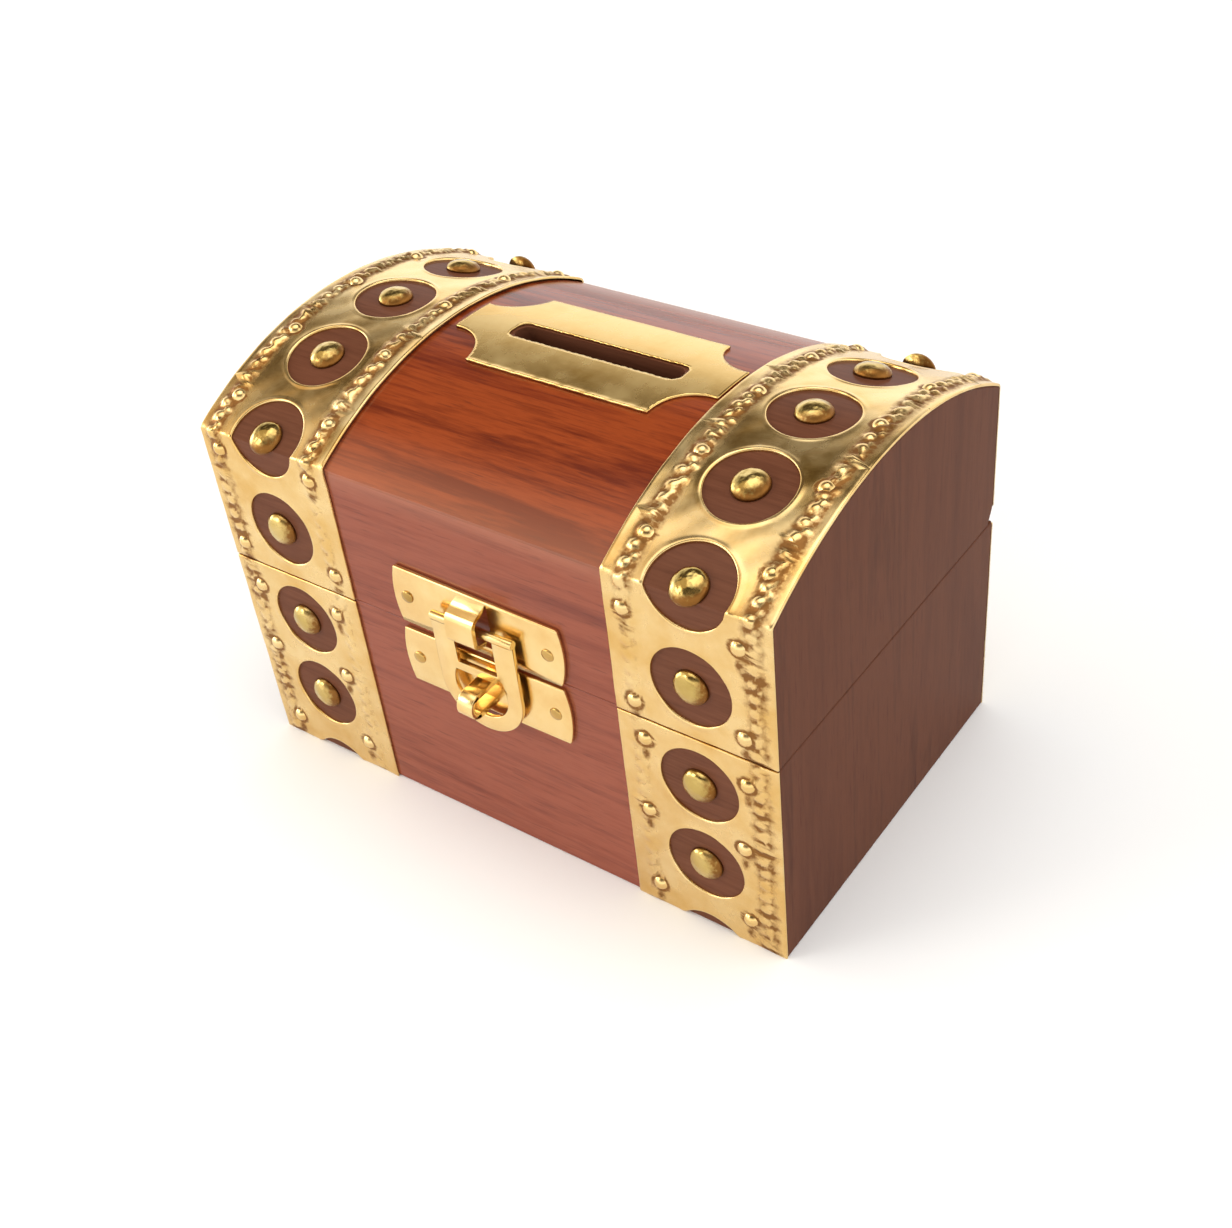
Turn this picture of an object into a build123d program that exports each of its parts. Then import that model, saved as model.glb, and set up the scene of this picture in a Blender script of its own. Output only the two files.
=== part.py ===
"""Wooden money box: a small chest with a domed lid, perforated brass straps and a brass hasp.

Millimetres. X runs along the length, -Y is the front, +Z is up, and the origin is the middle
of the case's underside. Places on the skin are given as (u, v): u along X, and v the distance
walked from the front's bottom edge up the front, over the dome and down the back.
"""

import math
import os

from build123d import *

os.makedirs("parts", exist_ok=True)

# ---- Box ----
box_length = 127.0
box_depth = 79.0
case_height = 47.0
shoulder_height = 77.0
dome_rise = 11.0
wall = 8.0
floor_thickness = 5.0
dome_board_thickness = 6.0
dome_board_blunt_edge = 0.6
edge_round = 0.4

# The lid's lower back edge is bevelled, so that it can lean back past upright
back_bevel_depth = 1.7
back_bevel_height = 3.4

# ---- Straps ----
strap_width = 32.5
sheet = 0.5
strap_gap = 0.2
back_strap_top_gap = 0.6
hole_radius = 8.0
hole_cut_depth = 1.6
hole_column_from_end = 16.25
lid_hole_first = 58.5
lid_hole_pitch = 20.5
lid_hole_count = 7
case_hole_first = 16.4
case_hole_pitch = 19.6
case_hole_count = 2
bottom_notch_centre = -5.5

# ---- Nails and pins ----
dome_nail_radius = 3.5
dome_nail_height = 2.1
dome_nail_shank_radius = 0.8
dome_nail_shank_length = 5.0
pin_head_radius = 1.5
pin_head_height = 0.9
pin_shank_radius = 0.5
pin_shank_length = 4.5

# Pins are driven by eye, so each has its own place: (distance in from the box's end, v)
case_pins_right = [(27.2, 5.1), (7.3, 6.4), (27.8, 24.5), (7.6, 24.8), (27.0, 42.3), (6.2, 40.9)]
case_pins_left = [(5.4, 5.3), (25.8, 6.7), (4.6, 25.3), (24.3, 24.5), (5.1, 40.9), (26.2, 41.2)]
lid_pins_right = [(28.3, 50.6), (6.1, 51.7), (28.8, 70.6), (6.3, 70.9)]
lid_pins_left = [(3.7, 51.2), (28.6, 51.7), (27.9, 73.4), (4.1, 73.4)]
dome_pin_first = 85.3
dome_pin_pitch = 18.0
dome_pin_rows = 5
back_pin_rows = [170.8, 183.5]
inner_pin_column = 28.0
outer_pin_column = 4.4

# ---- Coin slot and its plate ----
plate_length = 59.0
plate_width = 26.7
plate_centre = (1.0, 2.8)
scoop_radius = 8.4
scoop_inset = 0.8
slot_length = 38.5
slot_width = 5.6
slot_centre = (1.75, 1.95)
wood_slot_length = 37.4
wood_slot_width = 4.8

# ---- Hasp ----
hasp_sheet = 1.0
hasp_length = 39.5
hasp_end_bulge = 1.0
lid_plate_height = 12.7
lid_plate_centre = (1.0, 54.0)
lid_plate_tilt = -1.3
case_plate_height = 13.0
case_plate_centre = (0.8, 39.7)
hasp_nail_radius = 1.35
hasp_nail_shank_radius = 0.6
hasp_nail_length = 6.0
hasp_nail_reach = 16.3
hasp_nail_proud = 0.12

tongue_x = 0.9
tongue_width = 6.4
tongue_sheet = 0.9
tongue_side_gap = 0.3
tongue_window_bottom = 49.6
tongue_root = (0.5, 59.6)
tongue_top = (4.9, 57.6)
tongue_front = (4.9, 52.4)
tongue_lip = (2.4, 51.9)
tongue_top_bend = 2.0
tongue_lip_bend = 1.2

flap_x = 1.4
flap_width = 19.0
flap_sheet = 1.0
flap_pivot_out = 2.6
flap_pivot_z = 54.3
flap_bar_radius = 0.9
flap_round_centre_z = 40.2
flap_window_width = 9.4
flap_crossbar_top = 45.3
flap_crossbar_bottom = 43.3
flap_hole_radius = 6.2

staple_x = 1.2
staple_width = 3.6
staple_stock = 1.2
staple_height = 5.6
staple_reach = 8.2
staple_z = 38.9

# ---- Back hinges ----
hinge_centres = (-19.0, 19.0)
hinge_length = 16.0
leaf_thickness = 0.6
leaf_front = 31.9
axis_inset = 0.8
barrel_radius = 1.3
barrel_gap = 0.3
knuckle_gap = 0.2
hinge_pin_radius = 0.6
lid_knuckle_clearance = 0.05
hinge_nail_radius = 0.8
hinge_nail_length = 5.0
hinge_nail_spacing = 9.0

# ---- Worked out from the sizes above ----
half_length = box_length / 2
half_depth = box_depth / 2
inner_length = box_length - 2 * wall
inner_half_depth = half_depth - wall
dome_radius = (half_depth**2 + dome_rise**2) / (2 * dome_rise)
dome_centre_z = shoulder_height + dome_rise - dome_radius
dome_half_angle = math.asin(half_depth / dome_radius)
dome_length = 2 * dome_radius * dome_half_angle
dome_end = shoulder_height + dome_length
lid_holes = [lid_hole_first + lid_hole_pitch * i for i in range(lid_hole_count)]
case_holes = [case_hole_first + case_hole_pitch * i for i in range(case_hole_count)]
axis_y = half_depth - axis_inset
axis_z = case_height
housing_radius = barrel_radius + barrel_gap
SIDES = (("left", -1), ("right", 1))


def on_front(u, v, tilt=0.0):
    """A plane on the front, facing out, turned by tilt degrees; v may run past the shoulder."""
    along = (math.cos(math.radians(tilt)), 0, math.sin(math.radians(tilt)))
    return Plane(origin=(u, -half_depth, v), x_dir=along, z_dir=(0, -1, 0))


def on_dome(u, v):
    """A plane on the dome, facing out; v may run a little past either shoulder."""
    turn = (v - shoulder_height) / dome_radius - dome_half_angle
    out = (0, math.sin(turn), math.cos(turn))
    place = (u, dome_radius * out[1], dome_centre_z + dome_radius * out[2])
    return Plane(origin=place, x_dir=(1, 0, 0), z_dir=out)


def on_back(u, v):
    """A plane on the back, facing out."""
    return Plane(origin=(u, half_depth, shoulder_height - (v - dome_end)), x_dir=(1, 0, 0), z_dir=(0, 1, 0))


def on_skin(u, v):
    """The plane on whichever face of the box holds (u, v)."""
    if v < shoulder_height:
        return on_front(u, v)
    if v < dome_end:
        return on_dome(u, v)
    return on_back(u, v)


def hole_planes(u, v):
    """Every face that a strap hole at (u, v) reaches: one over a bend cuts both faces."""
    planes = []
    if v < shoulder_height + hole_radius:
        planes.append(on_front(u, v))
    if shoulder_height - hole_radius < v < dome_end + hole_radius:
        planes.append(on_dome(u, v))
    if v > dome_end - hole_radius:
        planes.append(on_back(u, v))
    return planes


def back_v(z):
    """How far around the skin a place on the back lies, from its height."""
    return dome_end + shoulder_height - z


def from_end(sign, inset):
    """X of a place measured in from the left (-1) or right (1) end of the box."""
    return sign * (half_length - inset)


def dome_height(y, radius):
    """Z of a circle about the dome's centre line, above the given Y."""
    return dome_centre_z + math.sqrt(radius**2 - y**2)


# ---- Case: end boards run the full depth, front and back boards stand between them ----
for side, sign in SIDES:
    with BuildPart() as case_end:
        with BuildSketch(Plane.YZ.offset(from_end(sign, wall / 2))):
            with Locations((0, case_height / 2)):
                Rectangle(box_depth, case_height)
        extrude(amount=wall / 2, both=True)
        fillet(case_end.faces().sort_by(Axis.X)[0 if sign < 0 else -1].edges(), edge_round)
    case_end.part.label = f"case_{side}_end"
    export_step(case_end.part, f"parts/case_{side}_end.step")

with BuildPart() as case_front_board:
    with BuildSketch(Plane.YZ.offset(-inner_length / 2)):
        with Locations((-half_depth + wall / 2, case_height / 2)):
            Rectangle(wall, case_height)
    extrude(amount=inner_length)
    fillet(case_front_board.edges().filter_by(Axis.X).group_by(Axis.Y)[0], edge_round)
case_front_board.part.label = "case_front_board"
export_step(case_front_board.part, "parts/case_front_board.step")

with BuildPart() as case_back_board:
    with BuildSketch(Plane.YZ.offset(-inner_length / 2)):
        with Locations((half_depth - wall / 2, case_height / 2)):
            Rectangle(wall, case_height)
    extrude(amount=inner_length)
    fillet(case_back_board.edges().filter_by(Axis.X).group_by(Axis.Y)[-1], edge_round)
    for hinge_x in hinge_centres:
        with BuildSketch(Plane.YZ.offset(hinge_x - hinge_length / 2 - knuckle_gap)):
            with Locations((axis_y, axis_z)):
                Circle(housing_radius)
        extrude(amount=hinge_length + 2 * knuckle_gap, mode=Mode.SUBTRACT)
        with BuildSketch(Plane.XY.offset(case_height)):
            with Locations((hinge_x, (leaf_front + axis_y) / 2)):
                Rectangle(hinge_length, axis_y - leaf_front)
        extrude(amount=-leaf_thickness, mode=Mode.SUBTRACT)
case_back_board.part.label = "case_back_board"
export_step(case_back_board.part, "parts/case_back_board.step")

with BuildPart() as bottom_board:
    with BuildSketch():
        Rectangle(inner_length, 2 * inner_half_depth)
    extrude(amount=floor_thickness)
bottom_board.part.label = "bottom_board"
export_step(bottom_board.part, "parts/bottom_board.step")

# ---- Lid: arched end boards, a front and a back rail, and a curved board between the ends ----
for side, sign in SIDES:
    with BuildPart() as lid_end:
        with BuildSketch(Plane.YZ.offset(from_end(sign, wall / 2))):
            with BuildLine():
                Polyline(
                    (-half_depth, shoulder_height),
                    (-half_depth, case_height),
                    (half_depth - back_bevel_depth, case_height),
                    (half_depth, case_height + back_bevel_height),
                    (half_depth, shoulder_height),
                )
                ThreePointArc(
                    (half_depth, shoulder_height),
                    (0, shoulder_height + dome_rise),
                    (-half_depth, shoulder_height),
                )
            make_face()
        extrude(amount=wall / 2, both=True)
        fillet(lid_end.faces().sort_by(Axis.X)[0 if sign < 0 else -1].edges(), edge_round)
    lid_end.part.label = f"lid_{side}_end"
    export_step(lid_end.part, f"parts/lid_{side}_end.step")

board_inner_radius = dome_radius - dome_board_thickness
rail_outer_top = shoulder_height - dome_board_blunt_edge
rail_inner_top = dome_height(inner_half_depth, board_inner_radius)

with BuildPart() as lid_front_rail:
    with BuildSketch(Plane.YZ.offset(-inner_length / 2)):
        with BuildLine():
            Polyline(
                (-half_depth, case_height),
                (-half_depth, rail_outer_top),
                (-inner_half_depth, rail_inner_top),
                (-inner_half_depth, case_height),
                close=True,
            )
        make_face()
    extrude(amount=inner_length)
    front_edges = lid_front_rail.edges().filter_by(Axis.X).group_by(Axis.Y)[0]
    fillet(front_edges.sort_by(Axis.Z)[0], edge_round)
lid_front_rail.part.label = "lid_front_rail"
export_step(lid_front_rail.part, "parts/lid_front_rail.step")

with BuildPart() as lid_back_rail:
    with BuildSketch(Plane.YZ.offset(-inner_length / 2)):
        with BuildLine():
            Polyline(
                (half_depth - back_bevel_depth, case_height),
                (half_depth, case_height + back_bevel_height),
                (half_depth, rail_outer_top),
                (inner_half_depth, rail_inner_top),
                (inner_half_depth, case_height),
                close=True,
            )
        make_face()
    extrude(amount=inner_length)
    for hinge_x in hinge_centres:
        with BuildSketch(Plane.YZ.offset(hinge_x - hinge_length / 2 - knuckle_gap)):
            with Locations((axis_y, axis_z)):
                Circle(housing_radius)
        extrude(amount=hinge_length + 2 * knuckle_gap, mode=Mode.SUBTRACT)
        with BuildSketch(Plane.XY.offset(case_height)):
            with Locations((hinge_x, (leaf_front + axis_y) / 2)):
                Rectangle(hinge_length, axis_y - leaf_front)
        extrude(amount=leaf_thickness, mode=Mode.SUBTRACT)
lid_back_rail.part.label = "lid_back_rail"
export_step(lid_back_rail.part, "parts/lid_back_rail.step")

with BuildPart() as lid_top_board:
    with BuildSketch(Plane.YZ.offset(-inner_length / 2)):
        with BuildLine():
            ThreePointArc(
                (-half_depth, shoulder_height),
                (0, shoulder_height + dome_rise),
                (half_depth, shoulder_height),
            )
            Polyline(
                (half_depth, shoulder_height),
                (half_depth, rail_outer_top),
                (inner_half_depth, rail_inner_top),
            )
            ThreePointArc(
                (inner_half_depth, rail_inner_top),
                (0, dome_centre_z + board_inner_radius),
                (-inner_half_depth, rail_inner_top),
            )
            Polyline(
                (-inner_half_depth, rail_inner_top),
                (-half_depth, rail_outer_top),
                (-half_depth, shoulder_height),
            )
        make_face()
    extrude(amount=inner_length)
    with BuildSketch(Plane.XY.offset(shoulder_height)):
        with Locations(slot_centre):
            SlotOverall(wood_slot_length, wood_slot_width)
    extrude(amount=2 * dome_rise, mode=Mode.SUBTRACT)
lid_top_board.part.label = "lid_top_board"
export_step(lid_top_board.part, "parts/lid_top_board.step")

# ---- Straps: thin brass sheet, punched with a row of round holes ----
strap_outer = half_depth + sheet
strap_corner_z = dome_height(strap_outer, dome_radius + sheet)
lid_strap_front_end = case_height + strap_gap
lid_strap_back_end = case_height + back_bevel_height + strap_gap

for side, sign in SIDES:
    strap_u = from_end(sign, strap_width / 2)
    hole_u = from_end(sign, hole_column_from_end)
    with BuildPart() as lid_strap:
        with BuildSketch(Plane.YZ.offset(strap_u)):
            with BuildLine():
                Line((-half_depth, lid_strap_front_end), (-half_depth, shoulder_height))
                ThreePointArc(
                    (-half_depth, shoulder_height),
                    (0, shoulder_height + dome_rise),
                    (half_depth, shoulder_height),
                )
                Polyline(
                    (half_depth, shoulder_height),
                    (half_depth, lid_strap_back_end),
                    (strap_outer, lid_strap_back_end),
                    (strap_outer, strap_corner_z),
                )
                ThreePointArc(
                    (strap_outer, strap_corner_z),
                    (0, shoulder_height + dome_rise + sheet),
                    (-strap_outer, strap_corner_z),
                )
                Polyline(
                    (-strap_outer, strap_corner_z),
                    (-strap_outer, lid_strap_front_end),
                    (-half_depth, lid_strap_front_end),
                )
            make_face()
        extrude(amount=strap_width / 2, both=True)
        for hole_v in lid_holes:
            with Locations(*hole_planes(hole_u, hole_v)):
                Cylinder(hole_radius, hole_cut_depth, mode=Mode.SUBTRACT)
    lid_strap.part.label = f"lid_strap_{side}"
    export_step(lid_strap.part, f"parts/lid_strap_{side}.step")

    with BuildPart() as case_strap_front:
        with BuildSketch(on_front(strap_u, (case_height - strap_gap) / 2)):
            Rectangle(strap_width, case_height - strap_gap)
        extrude(amount=sheet)
        with Locations(*[on_front(hole_u, v) for v in [bottom_notch_centre, *case_holes]]):
            Cylinder(hole_radius, hole_cut_depth, mode=Mode.SUBTRACT)
    case_strap_front.part.label = f"case_strap_front_{side}"
    export_step(case_strap_front.part, f"parts/case_strap_front_{side}.step")

    back_top = case_height - back_strap_top_gap
    with BuildPart() as case_strap_back:
        with BuildSketch(Plane.XZ.offset(-half_depth)):
            with Locations((strap_u, back_top / 2)):
                Rectangle(strap_width, back_top)
        extrude(amount=-sheet)
        with Locations(*[on_back(hole_u, back_v(z)) for z in [bottom_notch_centre, *case_holes]]):
            Cylinder(hole_radius, hole_cut_depth, mode=Mode.SUBTRACT)
    case_strap_back.part.label = f"case_strap_back_{side}"
    export_step(case_strap_back.part, f"parts/case_strap_back_{side}.step")

# ---- Nails: one round-headed nail in the middle of each strap hole, and small edge pins ----
with BuildPart() as dome_nail:
    with BuildSketch(Plane.XZ):
        with BuildLine():
            Polyline(
                (0, dome_nail_height),
                (0, -dome_nail_shank_length),
                (dome_nail_shank_radius, -dome_nail_shank_length + dome_nail_shank_radius),
                (dome_nail_shank_radius, 0),
                (dome_nail_radius, 0),
            )
            RadiusArc(
                (dome_nail_radius, 0),
                (0, dome_nail_height),
                -(dome_nail_radius**2 + dome_nail_height**2) / (2 * dome_nail_height),
            )
        make_face()
    revolve(axis=Axis.Z)

with BuildPart() as edge_pin:
    with BuildSketch(Plane.XZ):
        with BuildLine():
            Polyline(
                (0, pin_head_height),
                (0, -pin_shank_length),
                (pin_shank_radius, -pin_shank_length + pin_shank_radius),
                (pin_shank_radius, 0),
                (pin_head_radius, 0),
            )
            RadiusArc(
                (pin_head_radius, 0),
                (0, pin_head_height),
                -(pin_head_radius**2 + pin_head_height**2) / (2 * pin_head_height),
            )
        make_face()
    revolve(axis=Axis.Z)

for side, sign in SIDES:
    hole_u = from_end(sign, hole_column_from_end)
    with BuildPart() as lid_nails:
        with Locations(*[on_skin(hole_u, v) for v in lid_holes]):
            add(dome_nail.part)
    lid_nails.part.label = f"lid_dome_nails_{side}"
    export_step(lid_nails.part, f"parts/lid_dome_nails_{side}.step")

    case_back_places = [on_back(hole_u, back_v(z)) for z in case_holes]
    with BuildPart() as case_nails:
        with Locations(*[on_front(hole_u, z) for z in case_holes], *case_back_places):
            add(dome_nail.part)
    case_nails.part.label = f"case_dome_nails_{side}"
    export_step(case_nails.part, f"parts/case_dome_nails_{side}.step")

    front_lid_pins = lid_pins_left if sign < 0 else lid_pins_right
    dome_rows = [dome_pin_first + dome_pin_pitch * i for i in range(dome_pin_rows)]
    columns = (inner_pin_column, outer_pin_column)
    upper_lid_pins = [(inset, v) for v in [*dome_rows, *back_pin_rows] for inset in columns]
    with BuildPart() as lid_pins:
        for inset, v in front_lid_pins + upper_lid_pins:
            with Locations(on_skin(from_end(sign, inset), v).offset(sheet)):
                add(edge_pin.part)
    lid_pins.part.label = f"lid_pins_{side}"
    export_step(lid_pins.part, f"parts/lid_pins_{side}.step")

    front_case_pins = case_pins_left if sign < 0 else case_pins_right
    with BuildPart() as case_pins:
        for inset, z in front_case_pins:
            pin_x = from_end(sign, inset)
            with Locations(on_front(pin_x, z).offset(sheet), on_back(pin_x, back_v(z)).offset(sheet)):
                add(edge_pin.part)
    case_pins.part.label = f"case_pins_{side}"
    export_step(case_pins.part, f"parts/case_pins_{side}.step")

# ---- Coin-slot plate: thin sheet bent to the dome, with a scoop out of each corner ----
with BuildPart() as coin_slot_plate:
    with BuildSketch(Plane.YZ.offset(plate_centre[0])):
        with Locations((0, dome_centre_z)):
            Circle(dome_radius + sheet)
            Circle(dome_radius, mode=Mode.SUBTRACT)
    extrude(amount=plate_length / 2, both=True)
    with BuildSketch(Plane.XY.offset(shoulder_height)):
        with Locations(plate_centre):
            Rectangle(plate_length, plate_width)
            with GridLocations(plate_length - 2 * scoop_inset, plate_width, 2, 2):
                Circle(scoop_radius, mode=Mode.SUBTRACT)
        with Locations(slot_centre):
            SlotOverall(slot_length, slot_width, mode=Mode.SUBTRACT)
    extrude(amount=2 * dome_rise, mode=Mode.INTERSECT)
coin_slot_plate.part.label = "coin_slot_plate"
export_step(coin_slot_plate.part, "parts/coin_slot_plate.step")


# ---- Hasp ----
def hasp_outline(height):
    """A plate's outline: straight long edges, and ends that bulge a little."""
    corner_x = hasp_length / 2 - hasp_end_bulge
    with BuildSketch() as outline:
        with BuildLine():
            Line((-corner_x, height / 2), (corner_x, height / 2))
            ThreePointArc((corner_x, height / 2), (hasp_length / 2, 0), (corner_x, -height / 2))
            Line((corner_x, -height / 2), (-corner_x, -height / 2))
            ThreePointArc((-corner_x, -height / 2), (-hasp_length / 2, 0), (-corner_x, height / 2))
        make_face()
    return outline.sketch


lid_plate_plane = on_front(*lid_plate_centre, lid_plate_tilt)
case_plate_plane = on_front(*case_plate_centre)

# The lid's plate has a tongue cut from it, bent out and down into a hook that carries the flap
with BuildPart() as hasp_lid_plate:
    with BuildSketch(lid_plate_plane):
        add(hasp_outline(lid_plate_height))
    extrude(amount=hasp_sheet)
    window_height = tongue_root[1] - tongue_window_bottom
    with BuildSketch(on_front(tongue_x, tongue_window_bottom + window_height / 2)):
        Rectangle(tongue_width + 2 * tongue_side_gap, window_height)
    extrude(amount=2 * hasp_sheet, mode=Mode.SUBTRACT)
    with BuildSketch(Plane.YZ.offset(tongue_x)):
        with BuildLine() as tongue_path:
            FilletPolyline(
                (-half_depth - tongue_root[0], tongue_root[1]),
                (-half_depth - tongue_top[0], tongue_top[1]),
                (-half_depth - tongue_front[0], tongue_front[1]),
                (-half_depth - tongue_lip[0], tongue_lip[1]),
                radius=[tongue_top_bend, tongue_lip_bend],
            )
            offset(amount=tongue_sheet / 2, side=Side.BOTH)
        make_face()
    extrude(amount=tongue_width / 2, both=True)
hasp_lid_plate.part.label = "hasp_lid_plate"
export_step(hasp_lid_plate.part, "parts/hasp_lid_plate.step")

# The flap is a frame with a round bar across its top, a crossbar and a hole for the staple
pivot_y = -half_depth - flap_pivot_out
with BuildPart() as hasp_flap:
    with BuildSketch(Plane.XZ.offset(-pivot_y)):
        with Locations((flap_x, (flap_pivot_z + flap_round_centre_z) / 2)):
            Rectangle(flap_width, flap_pivot_z - flap_round_centre_z)
        with Locations((flap_x, flap_round_centre_z)):
            Circle(flap_width / 2)
            Circle(flap_hole_radius, mode=Mode.SUBTRACT)
        with Locations((flap_x, (flap_crossbar_top + flap_crossbar_bottom) / 2)):
            Rectangle(flap_width, flap_crossbar_top - flap_crossbar_bottom)
        with Locations((flap_x, flap_crossbar_top)):
            Rectangle(
                flap_window_width,
                flap_pivot_z - flap_crossbar_top,
                align=(Align.CENTER, Align.MIN),
                mode=Mode.SUBTRACT,
            )
    extrude(amount=flap_sheet / 2, both=True)
    with BuildSketch(Plane.YZ.offset(flap_x)):
        with Locations((pivot_y, flap_pivot_z)):
            Circle(flap_bar_radius)
    extrude(amount=flap_width / 2, both=True)
hasp_flap.part.label = "hasp_flap"
export_step(hasp_flap.part, "parts/hasp_flap.step")

with BuildPart() as hasp_case_plate:
    with BuildSketch(case_plate_plane):
        add(hasp_outline(case_plate_height))
    extrude(amount=hasp_sheet)
hasp_case_plate.part.label = "hasp_case_plate"
export_step(hasp_case_plate.part, "parts/hasp_case_plate.step")

# The staple is a flat strip bent into a loop, with both feet let through the case's plate
with BuildPart() as hasp_staple:
    loop_radius = staple_height / 2
    with BuildSketch(Plane.YZ.offset(staple_x)):
        with Locations((-half_depth - (staple_reach - loop_radius) / 2, staple_z)):
            Rectangle(staple_reach - loop_radius, staple_height)
        with Locations((-half_depth - staple_reach + loop_radius, staple_z)):
            Circle(loop_radius)
            Circle(loop_radius - staple_stock, mode=Mode.SUBTRACT)
        with Locations((-half_depth - (staple_reach - loop_radius) / 2, staple_z)):
            Rectangle(staple_reach - loop_radius, staple_height - 2 * staple_stock, mode=Mode.SUBTRACT)
    extrude(amount=staple_width / 2, both=True)
hasp_staple.part.label = "hasp_staple"
export_step(hasp_staple.part, "parts/hasp_staple.step")

for body, plate_plane in (("lid", lid_plate_plane), ("case", case_plate_plane)):
    with BuildPart() as hasp_nails:
        with BuildSketch(plate_plane.offset(hasp_sheet + hasp_nail_proud)):
            with Locations((-hasp_nail_reach, 0), (hasp_nail_reach, 0)):
                Circle(hasp_nail_radius)
        extrude(amount=-hasp_sheet / 2)
        with BuildSketch(plate_plane.offset(hasp_sheet)):
            with Locations((-hasp_nail_reach, 0), (hasp_nail_reach, 0)):
                Circle(hasp_nail_shank_radius)
        extrude(amount=-hasp_nail_length)
    hasp_nails.part.label = f"hasp_{body}_nails"
    export_step(hasp_nails.part, f"parts/hasp_{body}_nails.step")

# ---- Back hinges: leaves let into the meeting faces, knuckles in the bevel at the back ----
knuckle_length = (hinge_length - 2 * knuckle_gap) / 3
end_knuckle_x = (hinge_length - knuckle_length) / 2
leaf_back = axis_y - barrel_radius - barrel_gap

for (side, _), hinge_x in zip(SIDES, hinge_centres):
    leaves = (
        ("lid", 1, [0], hinge_pin_radius + lid_knuckle_clearance),
        ("case", -1, [-end_knuckle_x, end_knuckle_x], hinge_pin_radius),
    )
    for body, up, knuckles, bore_radius in leaves:
        knuckle_places = [(hinge_x + x, axis_y) for x in knuckles]
        with BuildPart() as leaf:
            with BuildSketch(Plane.XY.offset(axis_z)):
                with Locations((hinge_x, (leaf_front + leaf_back) / 2)):
                    Rectangle(hinge_length, leaf_back - leaf_front)
                with Locations(*knuckle_places):
                    Rectangle(knuckle_length, axis_y - leaf_front, align=(Align.CENTER, Align.MAX))
            extrude(amount=up * leaf_thickness)
            for x, _ in knuckle_places:
                with BuildSketch(Plane.YZ.offset(x)):
                    with Locations((axis_y, axis_z)):
                        Circle(barrel_radius)
                extrude(amount=knuckle_length / 2, both=True)
            with BuildSketch(Plane.YZ.offset(hinge_x)):
                with Locations((axis_y, axis_z)):
                    Circle(bore_radius)
            extrude(amount=hinge_length, both=True, mode=Mode.SUBTRACT)
        leaf.part.label = f"hinge_{side}_{body}_leaf"
        export_step(leaf.part, f"parts/hinge_{side}_{body}_leaf.step")

    with BuildPart() as hinge_pin:
        with BuildSketch(Plane.YZ.offset(hinge_x)):
            with Locations((axis_y, axis_z)):
                Circle(hinge_pin_radius)
        extrude(amount=hinge_length / 2, both=True)
    hinge_pin.part.label = f"hinge_{side}_pin"
    export_step(hinge_pin.part, f"parts/hinge_{side}_pin.step")

nail_places = [
    (hinge_x + step, (leaf_front + leaf_back) / 2)
    for hinge_x in hinge_centres
    for step in (-hinge_nail_spacing / 2, hinge_nail_spacing / 2)
]
for body, up in (("lid", 1), ("case", -1)):
    with BuildPart() as hinge_nails:
        with BuildSketch(Plane.XY.offset(axis_z)):
            with Locations(*nail_places):
                Circle(hinge_nail_radius)
        extrude(amount=up * hinge_nail_length)
    hinge_nails.part.label = f"hinge_{body}_nails"
    export_step(hinge_nails.part, f"parts/hinge_{body}_nails.step")
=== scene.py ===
import math
import random

import bpy
import numpy as np
from mathutils import Matrix, Vector


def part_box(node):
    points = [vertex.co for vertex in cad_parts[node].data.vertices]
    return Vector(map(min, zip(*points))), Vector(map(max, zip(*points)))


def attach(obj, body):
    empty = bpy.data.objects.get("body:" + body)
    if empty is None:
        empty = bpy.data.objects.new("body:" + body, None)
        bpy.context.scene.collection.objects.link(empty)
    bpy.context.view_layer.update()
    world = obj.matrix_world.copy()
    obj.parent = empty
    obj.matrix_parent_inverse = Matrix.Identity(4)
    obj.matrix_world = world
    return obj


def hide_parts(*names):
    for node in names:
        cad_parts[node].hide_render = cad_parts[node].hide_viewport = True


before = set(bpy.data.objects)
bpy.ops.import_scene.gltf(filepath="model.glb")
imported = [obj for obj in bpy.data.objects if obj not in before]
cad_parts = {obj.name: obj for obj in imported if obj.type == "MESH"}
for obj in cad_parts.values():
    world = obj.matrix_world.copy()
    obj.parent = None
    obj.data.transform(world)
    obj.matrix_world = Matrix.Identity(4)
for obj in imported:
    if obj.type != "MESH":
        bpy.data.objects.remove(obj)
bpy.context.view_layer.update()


# The wooden boards. Red-brown hardwood, planed and nailed up into a case and an arched lid,
# then sanded together and brushed with a clear varnish. Front, back and top boards have
# their grain along the box, the end boards have it upright.
MM = 0.001
shoulder_mm = 77.0
half_depth_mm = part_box("case_front_board")[0].y / -MM
crown_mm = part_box("lid_left_end")[1].z / MM
rise_mm = crown_mm - shoulder_mm
dome_radius_mm = (half_depth_mm ** 2 + rise_mm ** 2) / (2 * rise_mm)
slot_middle_mm = (1.75, 1.95)
slot_length_mm = 38.5
slot_width_mm = 5.6

# The figure across the grain: streaks 8 mm apart, fibres 0.9 mm apart and pores 0.4 mm apart.
# Fibres and pores are drawn coarser than real ones, so that they show.
streaks_per_mm = 0.13
fibres_per_mm = 1.1
pores_per_mm = 2.6

# How deep the dark wood under the straps goes, on the flat faces and on the dome, how far past
# the coin slot's outline its sawn wood is painted dark as shade, along and across it, and how far
# from the shoulder a painted highlight makes it paler
flat_skin_mm = 0.2
dome_skin_mm = 0.32
slot_shade_rim_mm = (0.35, 0.2)
shoulder_highlight_reach_mm = 5.0


def linear(hex_colour):
    """The linear colour of an sRGB hex value."""
    parts = [int(hex_colour[i:i + 2], 16) / 255 for i in (1, 3, 5)]
    return (*[c / 12.92 if c <= 0.04045 else ((c + 0.055) / 1.055) ** 2.4 for c in parts], 1)


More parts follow.
